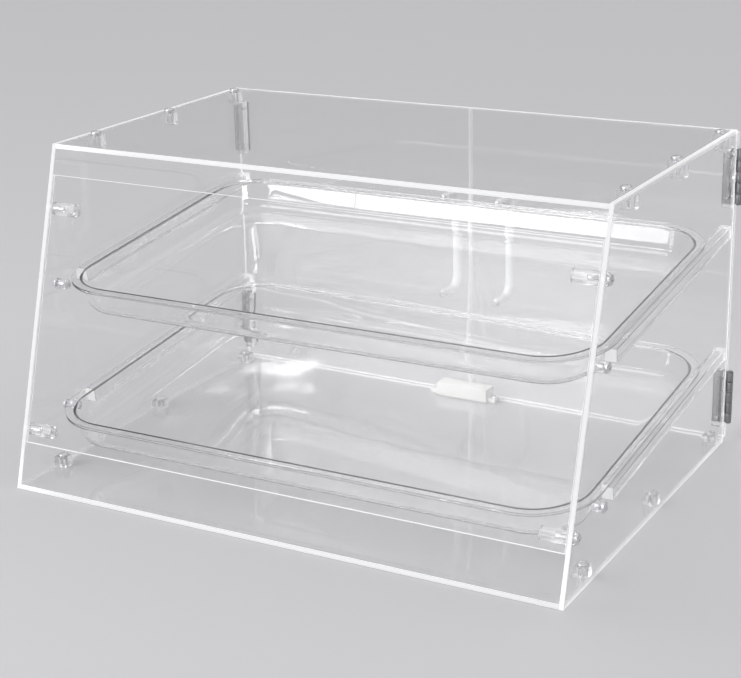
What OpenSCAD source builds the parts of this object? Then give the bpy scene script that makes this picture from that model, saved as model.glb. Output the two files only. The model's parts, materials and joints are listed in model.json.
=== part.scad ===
// Countertop bakery display case: clear panels, two sloping trays and two rear doors.
// +X is to the right seen from the front, +Y to the back, +Z up, in millimetres.
// The origin is the centre of the underside, on the table.

/* [Case] */
// Width over the two side panels
case_w = 530; // [440:1:640]
// Height of the side panels
case_h = 298; // [270:1:380]
// Depth of the side panels at the table
base_d = 384; // [340:1:480]
// Depth of the side panels at the top
top_d = 298; // [270:1:380]
// Thickness of every flat panel
panel_t = 4; // [3:0.5:8]

/* [Front panel] */
// Height of the open slot below the front panel
front_low_gap = 41; // [30:1:60]
// Height of the open slot above the front panel, from the top of the case
front_top_gap = 26; // [12:1:50]
// Gap between the front panel and each side panel
front_side_gap = 0.5; // [0.2:0.1:2]
// Diameter of the round standoffs behind the front panel
standoff_d = 12; // [10:0.5:16]
// Length of the standoffs, inward from the side panel
standoff_len = 25; // [15:1:40]
// Lower standoffs: height of their centre above the panel's lower edge
standoff_low_inset = 9; // [7:1:16]
// Upper standoffs: distance of their centre below the panel's upper edge
standoff_top_inset = 31; // [10:1:60]
// Depth of the flat that seats each standoff on the panel
standoff_flat = 1; // [0.5:0.1:2]

/* [Rails and pegs] */
// Forward slope of the rails and trays, in degrees
rail_slope = 6.5; // [3:0.25:8]
// Height of the lower rails' upper face at the back
lower_rail_z = 94; // [90:0.5:104]
// Height of the upper rails' upper face at the back
upper_rail_z = 210.5; // [180:0.5:214]
// Width of a rail, inward from the side panel
rail_w = 10; // [9:0.5:12]
// Height of a rail
rail_h = 12; // [8:0.5:13]
// Distance from the back edge to the rails
rail_back_gap = 2; // [1:0.5:10]
// Distance from the upper rails' front end to the front panel
rail_front_gap = 46; // [40:1:80]
// Diameter of the front pegs
peg_d = 9; // [7:0.5:10]
// Length of the front pegs, inward from the side panel
peg_len = 9; // [8:0.5:10]
// Distance from a rail's front end to the centre of its peg
peg_ahead = 24; // [10:1:34]

/* [Trays] */
// Gap between the tray's rim and each side panel
tray_side_gap = 3.5; // [3:0.5:6]
// Gap between a tray's rim and what stops it, the lower standoffs or the front panel
tray_front_gap = 1; // [0.5:0.5:4]
// Distance from the back edge to the trays, down the rails
tray_back_room = 20; // [16:1:40]
// Gap between the rim and the rails
tray_lift = 0.3; // [0.3:0.1:0.6]
// Height of the tray below its rim
tray_deep = 27; // [15:1:28]
// Wall and floor thickness of the tray
tray_wall = 2.5; // [2:0.1:4]
// Width of the flat rim at the front and back of the tray
rim_w = 8; // [7:0.5:10]
// Gap between a rail and the wall of the tray that hangs beside it
rail_wall_gap = 1.5; // [1:0.1:3]
// Thickness of the rim
rim_t = 3; // [2:0.1:4]
// Outer radius of the rim's corners
tray_corner_r = 38; // [25:1:60]
// How far the walls lean in from rim to floor
tray_draft = 4; // [1:0.5:8]
// Size of the round between wall and floor
tray_round = 8; // [4:0.5:10]

/* [Corner blocks and screws] */
// Side of the square corner blocks
block_w = 12; // [10:0.5:14]
// Height of the upper corner blocks
top_block_h = 12; // [8:0.5:16]
// Height of the lower corner blocks
low_block_h = 9; // [8:0.5:12]
// Distance from the back edge to the rear upper screws
top_screw_back = 18; // [15:1:30]
// Distance from the top's front edge to the front upper screws
top_screw_front = 50; // [20:1:80]
// Distance from the back edge to the rear lower screws
low_screw_back = 18; // [16:1:40]
// Distance from the base's front edge to the front lower screws
low_screw_front = 55; // [40:1:90]
// Screws along each side, above and below
screw_rows = 3; // [2:1:4]
// Head diameter of the case screws
head_d = 9.5; // [7:0.5:10]
// Head height of the case screws
head_h = 3.2; // [2:0.1:4]
// Shank diameter of the case screws
shank_d = 4; // [3:0.5:4]

/* [Hinges] */
// Height of a hinge
hinge_h = 50; // [45:1:54]
// Height of the lower hinges' centre
low_hinge_z = 45; // [44:1:46]
// Distance from the top of the case to the upper hinges' centre
top_hinge_drop = 43; // [36:1:50]
// Outer radius of the knuckles
knuckle_r = 3; // [2.5:0.1:4]
// Diameter of the hinge pin
pin_d = 2.6; // [2:0.1:3]
// Thickness of a leaf
leaf_t = 1.4; // [1:0.1:2]
// Width of a leaf from the pin
leaf_w = 16; // [15:0.5:22]
// Gap between the two leaves of a closed hinge
leaf_gap = 0.4; // [0.3:0.1:1]
// Depth of the blocks that the hinges are screwed to
hinge_block_d = 8; // [6:0.5:8]
// Height of the hinge blocks
hinge_block_h = 55; // [50:1:56]

/* [Doors] */
// Gap between the two closed doors
door_mid_gap = 2; // [1:0.5:5]
// Gap from the table to the doors
door_low_gap = 4; // [3:0.5:10]
// Distance from the top of the case down to the doors' upper edge
door_top_gap = 3; // [0:0.5:10]

/* [Handles] */
// Diameter of the handle rod
rod_d = 9; // [7:0.5:12]
// Distance between the centres of a handle's two feet
handle_span = 102; // [64:1:128]
// Height of the lower foot
handle_low_z = 102; // [60:1:120]
// Distance from the door's back face to the rod's centre line
handle_reach = 28; // [24:1:40]
// Bend radius of the rod's centre line
handle_bend_r = 13; // [11:0.5:18]
// Distance from the middle of the case to a handle
handle_x = 29; // [20:1:60]

/* [Catch] */
// Width of the catch's body
catch_w = 55; // [50:1:70]
// Depth of the catch's body
catch_d = 18; // [14:1:24]
// Height of the catch's body
catch_h = 13; // [11:0.5:18]
// Width of each screw ear
ear_w = 8; // [7:0.5:10]
// Height of the screw ears
ear_h = 4; // [3:0.5:6]
// Width of each magnet
magnet_w = 17; // [12:1:20]
// Height of each magnet
magnet_h = 7; // [5:0.5:8]
// Gap between a magnet and its strike plate
magnet_gap = 0.4; // [0.3:0.1:1]
// Thickness of the strike plates
strike_t = 1; // [0.8:0.1:1.5]

/* [Clearances] */
// Radial gap round a screw in a clearance hole
hole_gap = 0.25; // [0.1:0.05:0.5]
// Radial gap round a screw, pin or magnet in its seat
fit_gap = 0.05; // [0.02:0.01:0.1]
// Gap between neighbouring knuckles, and round them
knuckle_gap = 0.4; // [0.3:0.05:0.6]

/* [Hidden] */
$fn = 48;
corner_fn = 32;
half_w = case_w / 2;
inner_x = half_w - panel_t;
back_y = base_d / 2;
lean = atan((base_d - top_d) / case_h);
front_low_z = front_low_gap;
front_high_z = case_h - front_top_gap;
low_standoff_z = front_low_z + standoff_low_inset;
high_standoff_z = front_high_z - standoff_top_inset;
standoff_back = (standoff_d / 2 - standoff_flat) / cos(lean);
block_x = inner_x - block_w / 2;
axis_x = half_w + knuckle_r + 0.3;
axis_y = back_y + leaf_t + leaf_gap / 2;
door_front_y = back_y + 2 * leaf_t + leaf_gap;
door_back_y = door_front_y + panel_t;
door_h = case_h - door_top_gap - door_low_gap;
high_hinge_z = case_h - top_hinge_drop;
knuckles = 5;
knuckle_l = (hinge_h - (knuckles - 1) * knuckle_gap) / knuckles;
leaf_screw_d = 2.6;
leaf_head_d = 5;
leaf_screw_z = hinge_h / 2 - 6;
fixed_column = (leaf_w + axis_x - inner_x) / 2;
door_column = (leaf_w + knuckle_r + knuckle_gap) / 2;
block_screw_l = hinge_block_d - 1;
door_screw_l = panel_t - 1.2;
strike_x = door_mid_gap / 2 + 3 + magnet_w / 2;
strike_w = magnet_w + 4;
strike_h = magnet_h + 4;
magnet_z = panel_t + catch_h / 2;
magnet_tip_y = door_front_y - strike_t - magnet_gap;
magnet_len = 8;
rim_x = inner_x - tray_side_gap;
side_rim_more = rail_w + rail_wall_gap - tray_side_gap - rim_w;

CLEAR = [0.90, 0.93, 0.95, 0.35];
TRAY = [0.85, 0.88, 0.92, 0.45];
STEEL = [0.45, 0.46, 0.48];
CHROME = [0.78, 0.79, 0.81];
WHITE = [0.95, 0.95, 0.93];
DARK = [0.22, 0.22, 0.24];

// Outer face of the leaning front at height z
function front_y(z) = -base_d / 2 + z * tan(lean);
// Inner face of the front panel at height z
function front_inner_y(z) = front_y(z) + panel_t / cos(lean);
// Front edge of a rim that stays room behind the front panel, for rails of height rail_z
function rim_top_z0(rail_z) = rail_z + (tray_lift + rim_t) / cos(rail_slope) - back_y * tan(rail_slope);
function rim_front_y(rail_z, room) = (front_inner_y(rim_top_z0(rail_z)) + room)
    / (1 - tan(lean) * tan(rail_slope));
// The same place as a distance down the rails from the back edge
function rim_front_s(rail_z, room) = (back_y - rim_front_y(rail_z, room)) / cos(rail_slope);

upper_front_s = rim_front_s(upper_rail_z, tray_front_gap);
lower_front_s = rim_front_s(lower_rail_z, tray_front_gap + (standoff_d - standoff_flat) / cos(lean));
rail_len = upper_front_s - rail_front_gap - rail_back_gap;
peg_s = rail_back_gap + rail_len + peg_ahead;
rail_heights = [lower_rail_z, upper_rail_z];
hinge_heights = [low_hinge_z, high_hinge_z];
top_rows = [for (i = [0:screw_rows - 1])
    back_y - top_screw_back - i * (top_d - top_screw_back - top_screw_front) / (screw_rows - 1)];
low_rows = [for (i = [0:screw_rows - 1])
    back_y - low_screw_back - i * (base_d - low_screw_back - low_screw_front) / (screw_rows - 1)];

// ---- Placing helpers ----

// Draws the right-hand children, mirrored for the left side
module on_side(side) {
    mirror([side < 0 ? 1 : 0, 0, 0]) children();
}

// Frame of a pair of rails: origin at their upper face at the back, -Y down the slope
module on_slope(rail_z) {
    translate([0, back_y, rail_z]) rotate([rail_slope, 0, 0]) children();
}

// Frame of the leaning front: origin at the outer face at height z, +Z up the slope
module on_front(z) {
    translate([0, front_y(z), z]) rotate([-lean, 0, 0]) children();
}

// A rod or hole along X, from x0 outward
module x_rod(x0, length, d) {
    translate([x0, 0, 0]) rotate([0, 90, 0]) cylinder(h = length, d = d);
}

// ---- Screws ----

// Pan-head screw pointing down -Z, its head seated on z = 0
module pan_screw(head, high, shank, length) {
    difference() {
        union() {
            rotate_extrude() polygon(concat([[0, 0], [head / 2, 0], [head / 2, high * 0.45]],
                [for (a = [15:15:90]) [head / 2 * cos(a), high * (0.45 + 0.55 * sin(a))]]));
            translate([0, 0, -length]) cylinder(h = length + 0.1, d = shank);
        }
        for (turn = [0, 90])
            rotate([0, 0, turn]) translate([-head * 0.28, -0.5, high * 0.55])
                cube([head * 0.56, 1, high]);
    }
}

// Countersunk screw pointing down -Z, its head flush with z = 0
module flat_screw(head, high, shank, length) {
    difference() {
        union() {
            translate([0, 0, -high]) cylinder(h = high, d1 = shank, d2 = head);
            translate([0, 0, -length]) cylinder(h = length, d = shank);
        }
        translate([-head * 0.3, -0.4, -high * 0.4]) cube([head * 0.6, 0.8, high]);
    }
}

// ---- Panels ----

module side_holes(d) {
    for (z = [low_standoff_z, high_standoff_z])
        translate([0, front_inner_y(z) + standoff_back, z]) x_rod(inner_x - 1, panel_t + 2, d);
    for (rail_z = rail_heights)
        on_slope(rail_z) translate([0, -peg_s, -peg_d / 2]) x_rod(inner_x - 1, panel_t + 2, d);
}

module side_panel(side) {
    on_side(side) difference() {
        translate([inner_x, 0, 0]) rotate([90, 0, 90]) linear_extrude(panel_t) polygon([
            [-base_d / 2, 0], [base_d / 2, 0], [base_d / 2, case_h], [front_y(case_h), case_h]]);
        side_holes(shank_d + 2 * hole_gap);
    }
}

module top_sheet() {
    low_z = case_h - panel_t;
    difference() {
        translate([-inner_x, 0, 0]) rotate([90, 0, 90]) linear_extrude(2 * inner_x) polygon([
            [front_y(low_z), low_z], [back_y, low_z], [back_y, case_h], [front_y(case_h), case_h]]);
        for (side = [-1, 1], y = top_rows)
            translate([side * block_x, y, low_z - 1])
                cylinder(h = panel_t + 2, d = shank_d + 2 * hole_gap);
    }
}

module bottom_sheet() {
    difference() {
        translate([-inner_x, 0, 0]) rotate([90, 0, 90]) linear_extrude(2 * inner_x) polygon([
            [front_y(0), 0], [back_y, 0], [back_y, panel_t], [front_y(panel_t), panel_t]]);
        for (side = [-1, 1], y = low_rows)
            translate([side * block_x, y, 1]) cylinder(h = panel_t, d = shank_d + 2 * fit_gap);
        for (side = [-1, 1])
            translate([side * (catch_w + ear_w) / 2, catch_y() + catch_d / 2, 1])
                cylinder(h = panel_t, d = leaf_screw_d + 2 * fit_gap);
    }
}

module front_sheet() {
    w = inner_x - front_side_gap;
    on_front(front_low_z) translate([-w, 0, 0])
        cube([2 * w, panel_t, (front_high_z - front_low_z) / cos(lean)]);
}

// ---- Rails, pegs and standoffs ----

module rail(side, rail_z) {
    on_side(side) on_slope(rail_z)
        translate([inner_x - rail_w, -rail_back_gap - rail_len, -rail_h])
            cube([rail_w, rail_len, rail_h]);
}

module tray_pegs(side) {
    on_side(side) for (rail_z = rail_heights)
        on_slope(rail_z) translate([0, -peg_s, -peg_d / 2]) difference() {
            x_rod(inner_x - peg_len, peg_len, peg_d);
            x_rod(inner_x - peg_len + 3, peg_len, shank_d + 2 * fit_gap);
        }
}

module peg_screws(side) {
    on_side(side) for (rail_z = rail_heights)
        on_slope(rail_z) translate([half_w, -peg_s, -peg_d / 2]) rotate([0, 90, 0])
            pan_screw(head_d, head_h, shank_d, panel_t + peg_len - 3.5);
}

module front_standoffs(side) {
    on_side(side) difference() {
        for (z = [low_standoff_z, high_standoff_z])
            translate([0, front_inner_y(z) + standoff_back, z]) difference() {
                x_rod(inner_x - standoff_len, standoff_len, standoff_d);
                x_rod(inner_x - standoff_len / 2, standoff_len, shank_d + 2 * fit_gap);
            }
        on_front(0) translate([0, -panel_t, 0]) cube([inner_x + 1, 2 * panel_t, 2 * case_h]);
    }
}

module standoff_screws(side) {
    on_side(side) for (z = [low_standoff_z, high_standoff_z])
        translate([half_w, front_inner_y(z) + standoff_back, z]) rotate([0, 90, 0])
            pan_screw(head_d, head_h, shank_d, panel_t + standoff_len / 2 - 1);
}

// ---- Corner blocks and their screws ----

module corner_blocks(side, rows, low_z, high, d, hole_z, hole_h) {
    on_side(side) for (y = rows)
        difference() {
            translate([block_x - block_w / 2, y - block_w / 2, low_z])
                cube([block_w, block_w, high]);
            translate([block_x, y, hole_z]) cylinder(h = hole_h, d = d);
        }
}

module top_blocks(side) {
    low_z = case_h - panel_t - top_block_h;
    corner_blocks(side, top_rows, low_z, top_block_h, shank_d + 2 * fit_gap, low_z + 2, top_block_h);
}

module bottom_blocks(side) {
    corner_blocks(side, low_rows, panel_t, low_block_h, shank_d + 2 * hole_gap, panel_t - 1,
        low_block_h + 2);
}

module top_screws(side) {
    on_side(side) for (y = top_rows)
        translate([block_x, y, case_h])
            pan_screw(head_d, head_h, shank_d, panel_t + top_block_h - 2.5);
}

module bottom_screws(side) {
    on_side(side) for (y = low_rows)
        translate([block_x, y, panel_t + low_block_h])
            pan_screw(head_d, head_h, shank_d, low_block_h + panel_t - 1.5);
}

// ---- Hinges: drawn with the pin's axis on Z through the origin, leaves towards -X ----

module at_hinge(side, z) {
    on_side(side) translate([axis_x, axis_y, z - hinge_h / 2]) children();
}

// first is 0 for the fixed leaf and 1 for the door's leaf
module hinge_leaf(first, low_y, column, head_low) {
    root_x = knuckle_r + knuckle_gap;
    difference() {
        union() {
            translate([-leaf_w, low_y, 0]) cube([leaf_w - root_x, leaf_t, hinge_h]);
            for (i = [first:2:knuckles - 1])
                translate([0, 0, i * (knuckle_l + knuckle_gap)]) {
                    cylinder(h = knuckle_l, r = knuckle_r);
                    translate([-root_x - 0.1, low_y, 0]) cube([root_x, leaf_t, knuckle_l]);
                }
        }
        translate([0, 0, -1]) cylinder(h = hinge_h + 2, d = pin_d + 2 * fit_gap);
        for (end = [-1, 1])
            translate([-column, low_y, hinge_h / 2 + end * leaf_screw_z]) rotate([-90, 0, 0])
                cylinder(h = leaf_t,
                    d1 = (head_low ? leaf_head_d : leaf_screw_d) + 2 * fit_gap,
                    d2 = (head_low ? leaf_screw_d : leaf_head_d) + 2 * fit_gap);
    }
}

module fixed_leaf(side, z) {
    at_hinge(side, z) hinge_leaf(0, -leaf_gap / 2 - leaf_t, fixed_column, false);
}

module door_leaf(side, z) {
    at_hinge(side, z) hinge_leaf(1, leaf_gap / 2, door_column, true);
}

module hinge_pin(side, z) {
    at_hinge(side, z) {
        cylinder(h = hinge_h, d = pin_d);
        for (end = [-0.8, hinge_h])
            translate([0, 0, end]) cylinder(h = 0.8, d = pin_d + 1.8);
    }
}

module hinge_blocks(side) {
    low_x = axis_x - leaf_w;
    on_side(side) for (z = hinge_heights)
        difference() {
            translate([low_x, back_y - hinge_block_d, z - hinge_block_h / 2])
                cube([inner_x - low_x, hinge_block_d, hinge_block_h]);
            for (end = [-1, 1])
                translate([axis_x - fixed_column, back_y - hinge_block_d + 1, z + end * leaf_screw_z])
                    rotate([-90, 0, 0])
                        cylinder(h = hinge_block_d, d = leaf_screw_d + 2 * fit_gap);
        }
}

module fixed_leaf_screws(side) {
    on_side(side) for (z = hinge_heights, end = [-1, 1])
        translate([axis_x - fixed_column, back_y + leaf_t, z + end * leaf_screw_z])
            rotate([-90, 0, 0]) flat_screw(leaf_head_d, leaf_t, leaf_screw_d, block_screw_l);
}

module door_leaf_screws(side) {
    on_side(side) for (z = hinge_heights, end = [-1, 1])
        translate([axis_x - door_column, door_front_y - leaf_t, z + end * leaf_screw_z])
            rotate([90, 0, 0]) flat_screw(leaf_head_d, leaf_t, leaf_screw_d, leaf_t + door_screw_l);
}

// ---- Doors, handles and strike plates ----

// Draws a hole or screw at each foot of the right-hand handle
module at_feet() {
    for (z = [handle_low_z, handle_low_z + handle_span])
        translate([handle_x, door_front_y, z]) children();
}

module door_sheet(side) {
    on_side(side) difference() {
        translate([door_mid_gap / 2, door_front_y, door_low_gap])
            cube([half_w - door_mid_gap / 2, panel_t, door_h]);
        at_feet() rotate([-90, 0, 0]) translate([0, 0, -1])
            cylinder(h = panel_t + 2, d = shank_d + 2 * hole_gap);
        for (z = hinge_heights, end = [-1, 1])
            translate([axis_x - door_column, door_front_y - 1, z + end * leaf_screw_z])
                rotate([-90, 0, 0])
                    cylinder(h = door_screw_l + 1.2, d = leaf_screw_d + 2 * fit_gap);
        translate([strike_x, door_front_y - 1, magnet_z]) rotate([-90, 0, 0])
            cylinder(h = door_screw_l + 1.2, d = leaf_screw_d + 2 * fit_gap);
    }
}

// Quarter turn of rod in the YZ plane, centred on its bend
module rod_bend() {
    rotate([90, 0, 90]) rotate_extrude(angle = 90) translate([handle_bend_r, 0, 0])
        circle(d = rod_d);
}

module handle(side) {
    leg = handle_reach - handle_bend_r;
    low_z = handle_low_z + handle_bend_r;
    high_z = handle_low_z + handle_span - handle_bend_r;
    on_side(side) translate([handle_x, door_back_y, 0]) difference() {
        union() {
            for (z = [handle_low_z, handle_low_z + handle_span])
                translate([0, 0, z]) rotate([-90, 0, 0]) cylinder(h = leg, d = rod_d);
            translate([0, handle_reach, low_z]) cylinder(h = high_z - low_z, d = rod_d);
            translate([0, leg, high_z]) rod_bend();
            translate([0, leg, low_z]) mirror([0, 0, 1]) rod_bend();
        }
        for (z = [handle_low_z, handle_low_z + handle_span])
            translate([0, -1, z]) rotate([-90, 0, 0])
                cylinder(h = leg + 1, d = shank_d + 2 * fit_gap);
    }
}

module handle_screws(side) {
    on_side(side) at_feet() rotate([90, 0, 0])
        pan_screw(7, 1.8, shank_d, panel_t + handle_reach - handle_bend_r - 1);
}

module strike_plate(side) {
    on_side(side) difference() {
        translate([strike_x - strike_w / 2, door_front_y - strike_t, magnet_z - strike_h / 2])
            cube([strike_w, strike_t, strike_h]);
        translate([strike_x, door_front_y, magnet_z]) rotate([90, 0, 0])
            cylinder(h = strike_t, d1 = leaf_screw_d + 2 * fit_gap, d2 = leaf_head_d + 2 * fit_gap);
    }
}

module strike_screw(side) {
    on_side(side) translate([strike_x, door_front_y - strike_t, magnet_z]) rotate([90, 0, 0])
        flat_screw(leaf_head_d, strike_t, leaf_screw_d, strike_t + door_screw_l);
}

// ---- Magnetic catch ----

function catch_y() = back_y - catch_d;

module catch_shell() {
    ear_y = catch_y() + catch_d * 0.2;
    difference() {
        union() {
            translate([-catch_w / 2, catch_y(), panel_t]) cube([catch_w, catch_d, catch_h]);
            translate([-catch_w / 2 - ear_w, ear_y, panel_t])
                cube([catch_w + 2 * ear_w, catch_d * 0.6, ear_h]);
        }
        for (side = [-1, 1]) {
            translate([side * strike_x - magnet_w / 2 - fit_gap, magnet_tip_y - magnet_len - fit_gap,
                magnet_z - magnet_h / 2 - fit_gap])
                cube([magnet_w + 2 * fit_gap, magnet_len + 5, magnet_h + 2 * fit_gap]);
            translate([side * (catch_w + ear_w) / 2, catch_y() + catch_d / 2, panel_t - 1])
                cylinder(h = ear_h + 2, d = leaf_screw_d + 2 * hole_gap);
        }
    }
}

module catch_magnet_pair() {
    for (side = [-1, 1])
        translate([side * strike_x - magnet_w / 2, magnet_tip_y - magnet_len, magnet_z - magnet_h / 2])
            cube([magnet_w, magnet_len, magnet_h]);
}

module catch_screw_pair() {
    for (side = [-1, 1])
        translate([side * (catch_w + ear_w) / 2, catch_y() + catch_d / 2, panel_t + ear_h])
            pan_screw(5.5, 2, leaf_screw_d, ear_h + panel_t - 1.5);
}

// ---- Trays ----

// Outline with round corners, centred across X, from back to front down the rails
module tray_outline(back, front, inset, side_more) {
    r = tray_corner_r - inset;
    x = rim_x - inset - side_more;
    low = inset - front;
    high = -back - inset;
    translate([-x, low + r]) square([2 * x, high - low - 2 * r]);
    translate([-x + r, low]) square([2 * x - 2 * r, high - low]);
    for (cx = [-x + r, x - r], cy = [low + r, high - r])
        translate([cx, cy]) circle(r = r, $fn = corner_fn);
}

// Tapered tub with a rounded foot, from the rim's top down to z
module tub(back, front, inset, z) {
    slice = 0.01;
    hull() {
        translate([0, 0, rim_t]) linear_extrude(slice)
            tray_outline(back, front, inset, side_rim_more);
        for (a = [0, 30, 60, 90])
            translate([0, 0, z + tray_round * (1 - sin(a))]) linear_extrude(slice)
                tray_outline(back, front, inset + tray_draft + tray_round * (1 - cos(a)), side_rim_more);
    }
}

module tray(rail_z, front) {
    on_slope(rail_z) translate([0, 0, tray_lift]) difference() {
        union() {
            linear_extrude(rim_t) tray_outline(tray_back_room, front, 0, 0);
            tub(tray_back_room, front, rim_w, -tray_deep);
        }
        translate([0, 0, 0.02])
            tub(tray_back_room, front, rim_w + tray_wall, -tray_deep + tray_wall);
    }
}

// ---- Nodes ----

module left_side_panel() { color(CLEAR) side_panel(-1); }
module right_side_panel() { color(CLEAR) side_panel(1); }
module top_panel() { color(CLEAR) top_sheet(); }
module bottom_panel() { color(CLEAR) bottom_sheet(); }
module front_panel() { color(CLEAR) front_sheet(); }
module lower_left_rail() { color(CLEAR) rail(-1, lower_rail_z); }
module lower_right_rail() { color(CLEAR) rail(1, lower_rail_z); }
module upper_left_rail() { color(CLEAR) rail(-1, upper_rail_z); }
module upper_right_rail() { color(CLEAR) rail(1, upper_rail_z); }
module left_tray_pegs() { color(CLEAR) tray_pegs(-1); }
module right_tray_pegs() { color(CLEAR) tray_pegs(1); }
module left_peg_screws() { color(CHROME) peg_screws(-1); }
module right_peg_screws() { color(CHROME) peg_screws(1); }
module left_top_blocks() { color(CLEAR) top_blocks(-1); }
module right_top_blocks() { color(CLEAR) top_blocks(1); }
module left_top_screws() { color(CHROME) top_screws(-1); }
module right_top_screws() { color(CHROME) top_screws(1); }
module left_bottom_blocks() { color(CLEAR) bottom_blocks(-1); }
module right_bottom_blocks() { color(CLEAR) bottom_blocks(1); }
module left_bottom_screws() { color(CHROME) bottom_screws(-1); }
module right_bottom_screws() { color(CHROME) bottom_screws(1); }
module left_front_standoffs() { color(CLEAR) front_standoffs(-1); }
module right_front_standoffs() { color(CLEAR) front_standoffs(1); }
module left_standoff_screws() { color(CHROME) standoff_screws(-1); }
module right_standoff_screws() { color(CHROME) standoff_screws(1); }
module left_hinge_blocks() { color(CLEAR) hinge_blocks(-1); }
module right_hinge_blocks() { color(CLEAR) hinge_blocks(1); }
module lower_left_fixed_leaf() { color(STEEL) fixed_leaf(-1, low_hinge_z); }
module upper_left_fixed_leaf() { color(STEEL) fixed_leaf(-1, high_hinge_z); }
module lower_right_fixed_leaf() { color(STEEL) fixed_leaf(1, low_hinge_z); }
module upper_right_fixed_leaf() { color(STEEL) fixed_leaf(1, high_hinge_z); }
module lower_left_hinge_pin() { color(STEEL) hinge_pin(-1, low_hinge_z); }
module upper_left_hinge_pin() { color(STEEL) hinge_pin(-1, high_hinge_z); }
module lower_right_hinge_pin() { color(STEEL) hinge_pin(1, low_hinge_z); }
module upper_right_hinge_pin() { color(STEEL) hinge_pin(1, high_hinge_z); }
module left_fixed_leaf_screws() { color(STEEL) fixed_leaf_screws(-1); }
module right_fixed_leaf_screws() { color(STEEL) fixed_leaf_screws(1); }
module catch_body() { color(WHITE) catch_shell(); }
module catch_magnets() { color(DARK) catch_magnet_pair(); }
module catch_screws() { color(CHROME) catch_screw_pair(); }
module left_door_panel() { color(CLEAR) door_sheet(-1); }
module right_door_panel() { color(CLEAR) door_sheet(1); }
module lower_left_door_leaf() { color(STEEL) door_leaf(-1, low_hinge_z); }
module upper_left_door_leaf() { color(STEEL) door_leaf(-1, high_hinge_z); }
module lower_right_door_leaf() { color(STEEL) door_leaf(1, low_hinge_z); }
module upper_right_door_leaf() { color(STEEL) door_leaf(1, high_hinge_z); }
module left_door_leaf_screws() { color(STEEL) door_leaf_screws(-1); }
module right_door_leaf_screws() { color(STEEL) door_leaf_screws(1); }
module left_handle() { color(CLEAR) handle(-1); }
module right_handle() { color(CLEAR) handle(1); }
module left_handle_screws() { color(CHROME) handle_screws(-1); }
module right_handle_screws() { color(CHROME) handle_screws(1); }
module left_strike_plate() { color(STEEL) strike_plate(-1); }
module right_strike_plate() { color(STEEL) strike_plate(1); }
module left_strike_screw() { color(STEEL) strike_screw(-1); }
module right_strike_screw() { color(STEEL) strike_screw(1); }
module lower_tray() { color(TRAY) tray(lower_rail_z, lower_front_s); }
module upper_tray() { color(TRAY) tray(upper_rail_z, upper_front_s); }

left_side_panel();
right_side_panel();
top_panel();
bottom_panel();
front_panel();
lower_left_rail();
lower_right_rail();
upper_left_rail();
upper_right_rail();
left_tray_pegs();
right_tray_pegs();
left_peg_screws();
right_peg_screws();
left_top_blocks();
right_top_blocks();
left_top_screws();
right_top_screws();
left_bottom_blocks();
right_bottom_blocks();
left_bottom_screws();
right_bottom_screws();
left_front_standoffs();
right_front_standoffs();
left_standoff_screws();
right_standoff_screws();
left_hinge_blocks();
right_hinge_blocks();
lower_left_fixed_leaf();
upper_left_fixed_leaf();
lower_right_fixed_leaf();
upper_right_fixed_leaf();
lower_left_hinge_pin();
upper_left_hinge_pin();
lower_right_hinge_pin();
upper_right_hinge_pin();
left_fixed_leaf_screws();
right_fixed_leaf_screws();
catch_body();
catch_magnets();
catch_screws();
left_door_panel();
right_door_panel();
lower_left_door_leaf();
upper_left_door_leaf();
lower_right_door_leaf();
upper_right_door_leaf();
left_door_leaf_screws();
right_door_leaf_screws();
left_handle();
right_handle();
left_handle_screws();
right_handle_screws();
left_strike_plate();
right_strike_plate();
left_strike_screw();
right_strike_screw();
lower_tray();
upper_tray();
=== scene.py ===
import json
import math

import bmesh
import bpy
from mathutils import Matrix, Vector

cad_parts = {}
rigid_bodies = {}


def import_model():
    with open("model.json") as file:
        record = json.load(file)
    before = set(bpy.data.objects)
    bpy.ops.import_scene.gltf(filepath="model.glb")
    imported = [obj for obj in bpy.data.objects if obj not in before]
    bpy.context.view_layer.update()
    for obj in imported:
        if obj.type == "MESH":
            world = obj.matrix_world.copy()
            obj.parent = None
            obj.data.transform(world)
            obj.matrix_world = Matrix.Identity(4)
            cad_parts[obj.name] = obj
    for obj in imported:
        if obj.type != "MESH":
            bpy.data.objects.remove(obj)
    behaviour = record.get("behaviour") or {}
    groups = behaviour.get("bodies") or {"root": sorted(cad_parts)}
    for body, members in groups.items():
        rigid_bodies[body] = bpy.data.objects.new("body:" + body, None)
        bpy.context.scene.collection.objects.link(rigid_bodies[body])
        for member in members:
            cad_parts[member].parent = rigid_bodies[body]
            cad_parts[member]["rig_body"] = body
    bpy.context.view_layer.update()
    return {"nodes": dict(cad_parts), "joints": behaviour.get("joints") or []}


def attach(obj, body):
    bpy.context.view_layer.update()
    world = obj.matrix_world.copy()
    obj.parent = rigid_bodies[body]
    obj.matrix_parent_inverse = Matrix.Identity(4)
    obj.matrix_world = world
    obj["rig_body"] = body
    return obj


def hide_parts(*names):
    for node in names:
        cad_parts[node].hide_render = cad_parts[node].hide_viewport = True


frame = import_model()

nodes = frame["nodes"]
scene = bpy.context.scene
print("frame loaded:", len(nodes), "nodes")


class Wire:
    # one output socket, so that sums of masks can be written as plain expressions
    def __init__(self, bench, socket):
        self.bench, self.socket = bench, socket

    def maths(self, operation, other):
        return self.bench.add("ShaderNodeMath", {"operation": operation}, {0: self, 1: other})

    def __add__(self, other):
        return self.maths("ADD", other)

    def __mul__(self, other):
        return self.maths("MULTIPLY", other)

    __radd__, __rmul__ = __add__, __mul__  # the order of two terms makes no difference

    def above(self, low, high):
        # 0 below low, 1 above high
        return self.bench.add("ShaderNodeMapRange", {}, {0: self, 1: low, 2: high})


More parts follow.
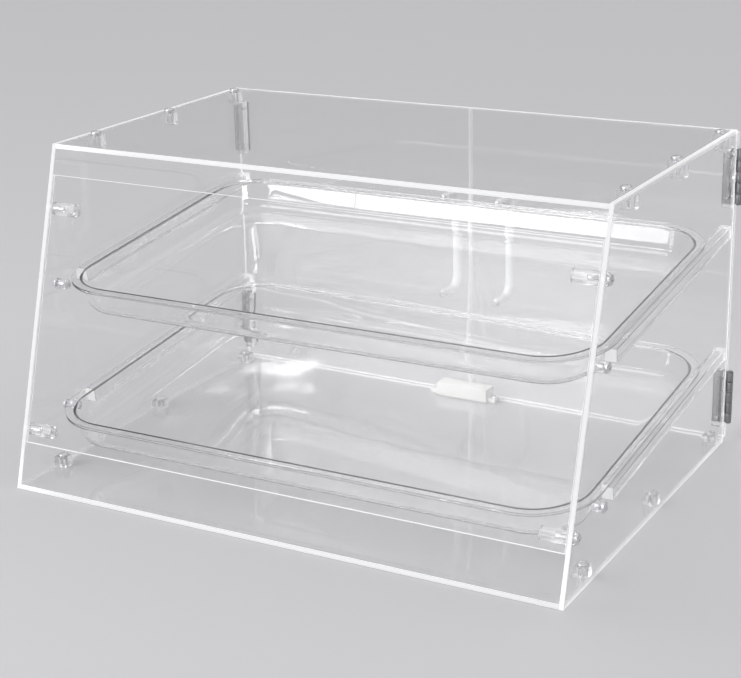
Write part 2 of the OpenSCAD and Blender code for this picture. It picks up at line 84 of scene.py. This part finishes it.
class Bench:
    # the emptied node tree of a material or of the world
    def __init__(self, owner, outKind="ShaderNodeOutputMaterial", space="Object"):
        self.owner = owner
        owner.use_nodes = True
        self.tree = owner.node_tree
        self.tree.nodes.clear()
        self.out = self.tree.nodes.new(outKind)
        self.coords = self.add("ShaderNodeTexCoord", {}, {}, space)

    def add(self, kind, settings, values, output=0):
        node = self.tree.nodes.new(kind)
        for key, value in settings.items():
            if key == "stops":
                for stop, (at, colour) in zip(node.color_ramp.elements, value):
                    stop.position, stop.color = at, (*colour, 1)
            else:
                setattr(node, key, value)
        for key, value in values.items():
            if isinstance(value, Wire):
                self.tree.links.new(value.socket, node.inputs[key])
            else:
                node.inputs[key].default_value = value
        return Wire(self, node.outputs[output])

    def noise(self, scale, detail=2.0, stretch=None):
        where = self.coords
        if stretch:
            where = self.add("ShaderNodeMapping", {}, {"Vector": self.coords, "Scale": stretch})
        return self.add("ShaderNodeTexNoise", {}, {"Vector": where, "Scale": scale, "Detail": detail}, "Fac")

    def blend(self, mask, low, high):
        # mixes two colours by a mask
        return self.add("ShaderNodeMix", {"data_type": "RGBA"}, {0: mask, 6: (*low, 1), 7: (*high, 1)}, 2)

    def bump(self, height, strength, distance):
        return self.add("ShaderNodeBump", {}, {"Height": height, "Strength": strength, "Distance": distance})

    def show(self, shader):
        self.tree.links.new(shader.socket, self.out.inputs["Surface"])
        return self.owner

    def finish(self, **values):
        sockets = {key.replace("_", " "): value for key, value in values.items()}
        return self.show(self.add("ShaderNodeBsdfPrincipled", {}, sockets))


def newBench(name):
    return Bench(bpy.data.materials.new(name))


sheetLook = {
    "clean": (0.998, 0.999, 1.0), "smudged": (0.985, 0.99, 0.994),
    "rough": 0.008, "smudge": 0.02, "scratch": 0.05, "ior": 1.49, "wave": 0.12,
}


def sheetFinish():
    bench = newBench("clearSheet")
    smudge = bench.noise(scale=9.0, detail=4.0).above(0.45, 0.75)
    scratches = bench.noise(scale=60.0, detail=3.0, stretch=(1.0, 14.0, 1.0)).above(0.66, 0.72)
    return bench.finish(
        Base_Color=bench.blend(smudge, sheetLook["clean"], sheetLook["smudged"]),
        Roughness=sheetLook["rough"] + smudge * sheetLook["smudge"] + scratches * sheetLook["scratch"],
        Transmission_Weight=1.0,
        IOR=sheetLook["ior"],
        Normal=bench.bump(bench.noise(scale=7.0, detail=1.0), sheetLook["wave"], distance=0.002),
    )


edgeLook = {
    "milky": (0.93, 0.945, 0.955), "bright": (1.0, 1.0, 1.0),
    "rough": 0.32, "sawLines": 0.2, "clear": 0.3, "carriedLight": 0.18, "ior": 1.49, "relief": 0.3,
}


def edgeFinish():
    # sawn and scraped edges: fine lines, a milky skin, and a painted glow that stands in for the light the
    # sheet carries to them
    bench = newBench("cutEdge")
    lines = bench.noise(scale=420.0, detail=2.0, stretch=(1.0, 1.0, 0.35))
    return bench.finish(
        Base_Color=bench.blend(lines, edgeLook["milky"], edgeLook["bright"]),
        Roughness=edgeLook["rough"] + lines * edgeLook["sawLines"],
        Transmission_Weight=edgeLook["clear"],
        # painted glow: the edges give off a faint white light of their own, though they are no lamp
        Emission_Color=(*edgeLook["bright"], 1.0),
        Emission_Strength=edgeLook["carriedLight"],
        IOR=edgeLook["ior"],
        Normal=bench.bump(lines, edgeLook["relief"], distance=0.0004),
    )


trayLook = {
    "clean": (1.0, 1.0, 1.0), "cloudy": (0.992, 0.994, 0.996),
    "rough": 0.02, "wear": 0.07, "ior": 1.52, "flow": 0.2,
}


def trayFinish():
    bench = newBench("clearTray")
    flow = bench.noise(scale=5.0, detail=2.0)
    wear = bench.noise(scale=140.0, detail=3.0, stretch=(1.0, 6.0, 1.0)).above(0.62, 0.72)
    return bench.finish(
        Base_Color=bench.blend(flow, trayLook["clean"], trayLook["cloudy"]),
        Roughness=trayLook["rough"] + wear * trayLook["wear"],
        Transmission_Weight=1.0,
        IOR=trayLook["ior"],
        Normal=bench.bump(flow, trayLook["flow"], distance=0.003),
    )


rodLook = {
    "light": (0.985, 0.99, 0.995), "dim": (0.96, 0.97, 0.98),
    "rough": 0.04, "turning": 0.06, "ior": 1.49, "relief": 0.1,
}


def rodFinish(name, clear):
    bench = newBench(name)
    flow = bench.noise(scale=90.0, detail=2.0)
    return bench.finish(
        Base_Color=bench.blend(flow, rodLook["light"], rodLook["dim"]),
        Roughness=rodLook["rough"] + flow * rodLook["turning"],
        Transmission_Weight=clear,
        IOR=rodLook["ior"],
        Normal=bench.bump(flow, rodLook["relief"], distance=0.0005),
    )


steelLooks = {
    "hingeSteel": {
        "dark": (0.2, 0.2, 0.21), "light": (0.36, 0.36, 0.37), "rough": 0.24, "grain": (1.0, 1.0, 0.04),
    },
    "screwChrome": {
        "dark": (0.62, 0.62, 0.64), "light": (0.82, 0.82, 0.84), "rough": 0.08, "grain": (1.0, 1.0, 0.3),
    },
    "zincPlate": {
        "dark": (0.5, 0.5, 0.52), "light": (0.68, 0.68, 0.7), "rough": 0.22, "grain": (0.05, 1.0, 1.0),
    },
}
steelWear = {"brushing": 0.18, "stain": 0.1, "relief": 0.25}


def steelFinish(name):
    bench = newBench(name)
    look = steelLooks[name]
    brushed = bench.noise(scale=700.0, detail=3.0, stretch=look["grain"])
    stain = bench.noise(scale=160.0, detail=2.0).above(0.5, 0.8)
    return bench.finish(
        Base_Color=bench.blend(brushed, look["dark"], look["light"]),
        Metallic=1.0,
        Roughness=look["rough"] + brushed * steelWear["brushing"] + stain * steelWear["stain"],
        Normal=bench.bump(brushed, steelWear["relief"], distance=0.0002),
    )


whiteLook = {"clean": (0.88, 0.88, 0.86), "dusty": (0.8, 0.8, 0.77), "rough": 0.32, "texture": 0.16}


def whiteFinish():
    bench = newBench("whitePlastic")
    grain = bench.noise(scale=1400.0, detail=2.0)
    dust = bench.noise(scale=60.0, detail=3.0).above(0.5, 0.8)
    return bench.finish(
        Base_Color=bench.blend(dust, whiteLook["clean"], whiteLook["dusty"]),
        Roughness=whiteLook["rough"] + grain * whiteLook["texture"],
        Normal=bench.bump(grain, strength=0.25, distance=0.0002),
    )


magnetLook = {
    "dark": (0.05, 0.05, 0.055), "light": (0.12, 0.12, 0.125), "metal": 0.5, "rough": 0.45, "texture": 0.25,
}


def magnetFinish():
    bench = newBench("ferrite")
    grain = bench.noise(scale=1100.0, detail=4.0)
    return bench.finish(
        Base_Color=bench.blend(grain, magnetLook["dark"], magnetLook["light"]),
        Metallic=magnetLook["metal"],
        Roughness=magnetLook["rough"] + grain * magnetLook["texture"],
        Normal=bench.bump(grain, strength=0.4, distance=0.0003),
    )


finishes = {
    "sheet": sheetFinish(),
    "edge": edgeFinish(),
    "tray": trayFinish(),
    "rod": rodFinish("clearRod", 0.35),
    "turned": rodFinish("turnedRod", 0.95),
    "hinge": steelFinish("hingeSteel"),
    "screw": steelFinish("screwChrome"),
    "zinc": steelFinish("zincPlate"),
    "white": whiteFinish(),
    "magnet": magnetFinish(),
}
print("finishes made:", len(finishes))


def place(node, bm, slotName, *used):
    # the finished piece that stands for one node, named as the node is but in camelCase
    first, *rest = node.split("_")
    name = first + "".join(word.capitalize() for word in rest)
    mesh = bpy.data.meshes.new(name)
    bm.to_mesh(mesh)
    bm.free()
    for finish in used:
        mesh.materials.append(finishes[finish])
    piece = bpy.data.objects.new(name, mesh)
    scene.collection.objects.link(piece)
    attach(piece, nodes[node]["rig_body"])
    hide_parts(node)
    piece.visible_shadow = not slotName.startswith("clear")
    return piece


def smoothBelow(piece, degrees):
    mesh = piece.data
    mesh.polygons.foreach_set("use_smooth", [True] * len(mesh.polygons))
    mesh.set_sharp_from_angle(angle=math.radians(degrees))


def mergedCopy(node):
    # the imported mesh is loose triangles, so a copy is merged and its flat faces joined
    bm = bmesh.new()
    bm.from_mesh(nodes[node].data)
    bmesh.ops.remove_doubles(bm, verts=bm.verts, dist=1e-6)
    bmesh.ops.dissolve_limit(bm, angle_limit=math.radians(0.6), verts=bm.verts, edges=bm.edges)
    return bm


def easeEdges(bm, width, segments, sharper):
    # rounds every edge that is sharper than so many degrees
    sharp = [e for e in bm.edges if len(e.link_faces) == 2 and e.calc_face_angle(0) > math.radians(sharper)]
    bmesh.ops.bevel(bm, geom=sharp, offset=width, offset_type="OFFSET", affect="EDGES", segments=segments,
                    profile=0.5, material=-1, clamp_overlap=True)


def drawIn(bm, gap=0.00005):
    # a hair of air round each clear piece, so that touching faces never lie in one plane
    bm.normal_update()
    for vert in bm.verts:
        vert.co -= vert.normal * gap


panelForm = {"ease": 0.0004, "segments": 2, "sharper": 40, "flatWithin": 1, "facing": 0.95}


def panelPiece(node, through):
    # a whole sheet with clear faces and sawn edges
    bm = mergedCopy(node)
    shell = bmesh.ops.convex_hull(bm, input=bm.verts)
    inner = [g for g in shell["geom_interior"] if isinstance(g, bmesh.types.BMVert)]
    bmesh.ops.delete(bm, geom=inner, context="VERTS")
    outer = {g for g in shell["geom"] if isinstance(g, bmesh.types.BMFace)}
    bmesh.ops.delete(bm, geom=[f for f in bm.faces if f not in outer], context="FACES")
    bmesh.ops.delete(bm, geom=[v for v in bm.verts if not v.link_faces], context="VERTS")
    flat = math.radians(panelForm["flatWithin"])
    bmesh.ops.dissolve_limit(bm, angle_limit=flat, verts=bm.verts, edges=bm.edges)
    bmesh.ops.recalc_face_normals(bm, faces=bm.faces)
    drawIn(bm)
    easeEdges(bm, panelForm["ease"], panelForm["segments"], panelForm["sharper"])
    for face in bm.faces:
        face.material_index = 0 if abs(face.normal.dot(through)) > panelForm["facing"] else 1
    place(node, bm, "clear_sheet", "sheet", "edge")


leaning = max(nodes["front_panel"].data.polygons, key=lambda polygon: polygon.area).normal.normalized()
for side in ("left", "right"):
    panelPiece(side + "_side_panel", Vector((1, 0, 0)))
    panelPiece(side + "_door_panel", Vector((0, 1, 0)))
for level in ("top", "bottom"):
    panelPiece(level + "_panel", Vector((0, 0, 1)))
panelPiece("front_panel", leaning)
print("panels made")


stripForm = {"ease": 0.0005, "segments": 2, "sharper": 40, "endFacing": 0.9}


def stripPiece(node):
    # a sawn rail or block of sheet; a rail's two ends are left as cut
    bm = mergedCopy(node)
    drawIn(bm)
    easeEdges(bm, stripForm["ease"], stripForm["segments"], stripForm["sharper"])
    bm.normal_update()
    for face in bm.faces:
        cut = node.endswith("_rail") and abs(face.normal.y) > stripForm["endFacing"]
        face.material_index = 1 if cut else 0
    place(node, bm, "clear_sheet", "sheet", "edge")


# the first kind with a word that is in the node's name is used; ease is the radius put on sharp edges
smallKinds = (
    {"words": ("_pegs", "_standoffs"), "slot": "clear_rod", "finish": "turned", "ease": 0.0004, "airy": True},
    {"words": ("leaf_screws",), "slot": "hinge_steel", "finish": "screw"},
    {"words": ("screw",), "slot": "chrome_screws", "finish": "screw"},
    {"words": ("handle",), "slot": "clear_rod", "finish": "rod"},
    {"words": ("_leaf", "_pin"), "slot": "hinge_steel", "finish": "hinge", "ease": 0.00025},
    {"words": ("strike_plate",), "slot": "hinge_steel", "finish": "zinc", "ease": 0.0002},
    {"words": ("catch_body",), "slot": "white_plastic", "finish": "white", "ease": 0.0009, "segments": 3},
    {"words": ("catch_magnets",), "slot": "magnet", "finish": "magnet", "ease": 0.0003, "flat": True},
)


def smallPiece(node):
    kind = next(k for k in smallKinds if any(word in node for word in k["words"]))
    bm = mergedCopy(node)
    if kind.get("airy"):
        drawIn(bm)
    if "ease" in kind:
        easeEdges(bm, kind["ease"], kind.get("segments", 2), 60)
    piece = place(node, bm, kind["slot"], kind["finish"])
    if not kind.get("flat"):
        smoothBelow(piece, 35)


for node in nodes:
    if node.endswith(("_rail", "_blocks")):
        stripPiece(node)
    elif not node.endswith(("_panel", "_tray")):
        smallPiece(node)
print("small parts made")


trayForm = {
    "cornerRadius": 0.038, "cornerSteps": 14, "rimFlat": 0.0075, "wall": 0.0028,
    "draft": 0.004, "draftSteps": 4, "bend": 0.0025, "bendSteps": 4, "foot": 0.008, "footSteps": 6,
    "lipRound": 0.0007, "lipSteps": 3, "lipSharper": 55, "smoothBelow": 40,
}


def quarterRound(radius, count):
    # the steps of a quarter circle that starts off straight along
    angles = [math.radians(90 / count * i) for i in range(count + 1)]
    return [(radius * (math.sin(b) - math.sin(a)), radius * (math.cos(a) - math.cos(b)))
            for a, b in zip(angles, angles[1:])]


def trayWall(depth):
    # how far in and down each ring of the tray goes: rim, bend, leaning wall, round foot
    straight = depth - trayForm["bend"] - trayForm["foot"]
    count = trayForm["draftSteps"]
    steps = [(trayForm["rimFlat"], 0.0)]
    steps += quarterRound(trayForm["bend"], trayForm["bendSteps"])
    steps += [(trayForm["draft"] / count, straight / count)] * count
    steps += [(inward, down) for down, inward in quarterRound(trayForm["foot"], trayForm["footSteps"])]
    return steps


def trayPiece(node):
    slide = next(j for j in frame["joints"] if j["child"] == node)
    level = Matrix.Rotation(math.asin(slide["axis"][2]), 4, "X")  # from level to the slope of the rails
    flat = [level.inverted() @ v.co for v in nodes[node].data.vertices]
    low, high = (Vector([pick(v[i] for v in flat) for i in range(3)]) for pick in (min, max))
    bm = bmesh.new()
    outline = ((low.x, low.y), (high.x, low.y), (high.x, high.y), (low.x, high.y))
    corners = [bm.verts.new((x, y, high.z)) for x, y in outline]
    bm.faces.new(corners)
    bmesh.ops.bevel(bm, geom=corners, offset=trayForm["cornerRadius"] * math.sqrt(2), offset_type="OFFSET",
                    affect="VERTICES", segments=trayForm["cornerSteps"], profile=0.5, material=-1)
    floorFace = bm.faces[:][0]
    for inward, down in trayWall(high.z - low.z - trayForm["wall"]):
        bmesh.ops.inset_region(bm, faces=[floorFace], thickness=inward,
                               use_even_offset=True, use_boundary=True)
        bmesh.ops.translate(bm, verts=floorFace.verts, vec=(0, 0, -down))
    bmesh.ops.recalc_face_normals(bm, faces=bm.faces)
    if floorFace.normal.z < 0:
        bmesh.ops.reverse_faces(bm, faces=bm.faces)
    bmesh.ops.transform(bm, matrix=level, verts=bm.verts)
    piece = place(node, bm, "clear_tray", "tray")
    wall = piece.modifiers.new("wall", "SOLIDIFY")
    wall.thickness, wall.offset, wall.use_even_offset = trayForm["wall"], -1.0, True
    lip = piece.modifiers.new("lip", "BEVEL")
    lip.width, lip.segments, lip.limit_method = trayForm["lipRound"], trayForm["lipSteps"], "ANGLE"
    lip.angle_limit, lip.harden_normals = math.radians(trayForm["lipSharper"]), True
    smoothBelow(piece, trayForm["smoothBelow"])


for node in ("lower_tray", "upper_tray"):
    trayPiece(node)
print("trays made")


floorForm = {
    "reach": 14.0, "below": 0.0004, "dark": (0.594, 0.58905, 0.6039), "light": (0.606, 0.60095, 0.6161),
    "cloud": 0.5, "grain": 0.1, "rough": 0.75, "relief": 0.05,
}


def floorFinish():
    bench = newBench("paperFloor")
    grain = bench.noise(scale=900.0, detail=3.0)
    cloud = bench.noise(scale=0.8, detail=2.0)
    speckle = grain * floorForm["grain"]
    return bench.finish(
        Base_Color=bench.blend(cloud * floorForm["cloud"] + speckle, floorForm["dark"], floorForm["light"]),
        Roughness=floorForm["rough"] + speckle,
        Normal=bench.bump(grain, floorForm["relief"], distance=0.0005),
    )


bm = bmesh.new()
bmesh.ops.create_grid(bm, x_segments=8, y_segments=8, size=floorForm["reach"])
bmesh.ops.translate(bm, verts=bm.verts, vec=(0, 0, -floorForm["below"]))
floorMesh = bpy.data.meshes.new("floor")
bm.to_mesh(floorMesh)
bm.free()
floorMesh.materials.append(floorFinish())
floor = bpy.data.objects.new("floor", floorMesh)
scene.collection.objects.link(floor)


studio = {
    "low": (0.46765, 0.46295, 0.4747), "lowAt": 0.42, "high": (0.9, 0.9, 0.9), "highAt": 0.72,
    "glow": 0.9, "glowToward": (-0.3, -0.92, 0.17), "glowCore": 5, "glowReach": 15,
}
world = bpy.data.worlds.new("studio")
scene.world = world
bench = Bench(world, "ShaderNodeOutputWorld", "Generated")
height = bench.add("ShaderNodeSeparateXYZ", {}, {0: bench.coords}, "Z")
stops = [(studio["lowAt"], studio["low"]), (studio["highAt"], studio["high"])]
sky = bench.add("ShaderNodeValToRGB", {"stops": stops}, {0: height})
# one soft glow low at the front left, which the leaning panel mirrors
toward = Vector(studio["glowToward"]).normalized()
dotProduct = {"operation": "DOT_PRODUCT"}
nearness = bench.add("ShaderNodeVectorMath", dotProduct, {0: bench.coords, 1: toward}, "Value")
reach, core = (math.cos(math.radians(studio[key])) for key in ("glowReach", "glowCore"))
glow = bench.add("ShaderNodeMapRange", {"interpolation_type": "SMOOTHSTEP"},
                 {0: nearness, 1: reach, 2: core, 4: studio["glow"]})
both = bench.add("ShaderNodeVectorMath", {}, {0: sky, 1: glow})
bench.show(bench.add("ShaderNodeBackground", {}, {"Color": both}))

# a card or a tube shows only in reflections
lamps = {
    "keySoft": {"at": (-0.62, -1.0, 1.0), "to": (0, 0, 0), "angle": 36, "power": 0.45},
    "frontSoft": {"at": (-0.8, -1.6, 1.5), "to": (0, 0, 0.1), "size": (1.6, 1.2), "power": 14.0},
    "lowCard": {"at": (-1.2, -2.16, 0.095), "to": (0, 0.2, 0.15), "size": (0.9, 0.15), "power": 3.4},
    "leftCard": {"at": (-1.3, -1.15, 0.085), "to": (0.2, 0.16, 0.19), "size": (0.3, 0.1), "power": 0.8},
    "rightCard": {"at": (1.255, -1.18, 0.305), "to": (-0.23, 0.15, 0.19), "size": (0.4, 0.14), "power": 1.6},
    "farTube": {"at": (-1.272, 1.527, 1.42), "to": (-0.02, -0.15, 0.06), "size": (0.24, 0.022), "power": 0.2},
}
for name, lamp in lamps.items():
    data = bpy.data.lights.new(name, "AREA" if "size" in lamp else "SUN")
    data.energy = lamp["power"]
    if "size" in lamp:
        data.shape, data.size, data.size_y = "RECTANGLE", *lamp["size"]
    else:
        data.angle = math.radians(lamp["angle"])
    light = bpy.data.objects.new(name, data)
    light.location = lamp["at"]
    light.rotation_euler = (Vector(lamp["to"]) - light.location).to_track_quat("-Z", "Y").to_euler()
    light.visible_diffuse = name.endswith("Soft")
    scene.collection.objects.link(light)

cameraForm = {
    "azimuth": 29.19, "elevation": 18.46, "roll": -1.14,
    "lens": 85.355, "sensor": 36.0, "at": (0.72593, -1.30885, 0.62143),
}
azimuth, elevation, roll = (math.radians(cameraForm[key]) for key in ("azimuth", "elevation", "roll"))
level = math.cos(elevation)
back = Vector((math.sin(azimuth) * level, -math.cos(azimuth) * level, math.sin(elevation)))
right = (-back).cross(Vector((0, 0, 1))).normalized()
up = right.cross(-back)
across = right * math.cos(roll) + up * math.sin(roll)
upward = up * math.cos(roll) - right * math.sin(roll)
cameraData = bpy.data.cameras.new("camera")
cameraData.lens, cameraData.sensor_width = cameraForm["lens"], cameraForm["sensor"]
camera = bpy.data.objects.new("camera", cameraData)
turned = Matrix((across, upward, back)).transposed().to_4x4()
camera.matrix_world = Matrix.Translation(cameraForm["at"]) @ turned
scene.collection.objects.link(camera)
scene.camera = camera

scene.view_settings.view_transform = "Standard"
bounces = {"max_bounces": 32, "transmission_bounces": 32, "glossy_bounces": 8, "diffuse_bounces": 3,
           "transparent_max_bounces": 32}
for name, count in bounces.items():
    setattr(scene.cycles, name, count)
print("studio made")
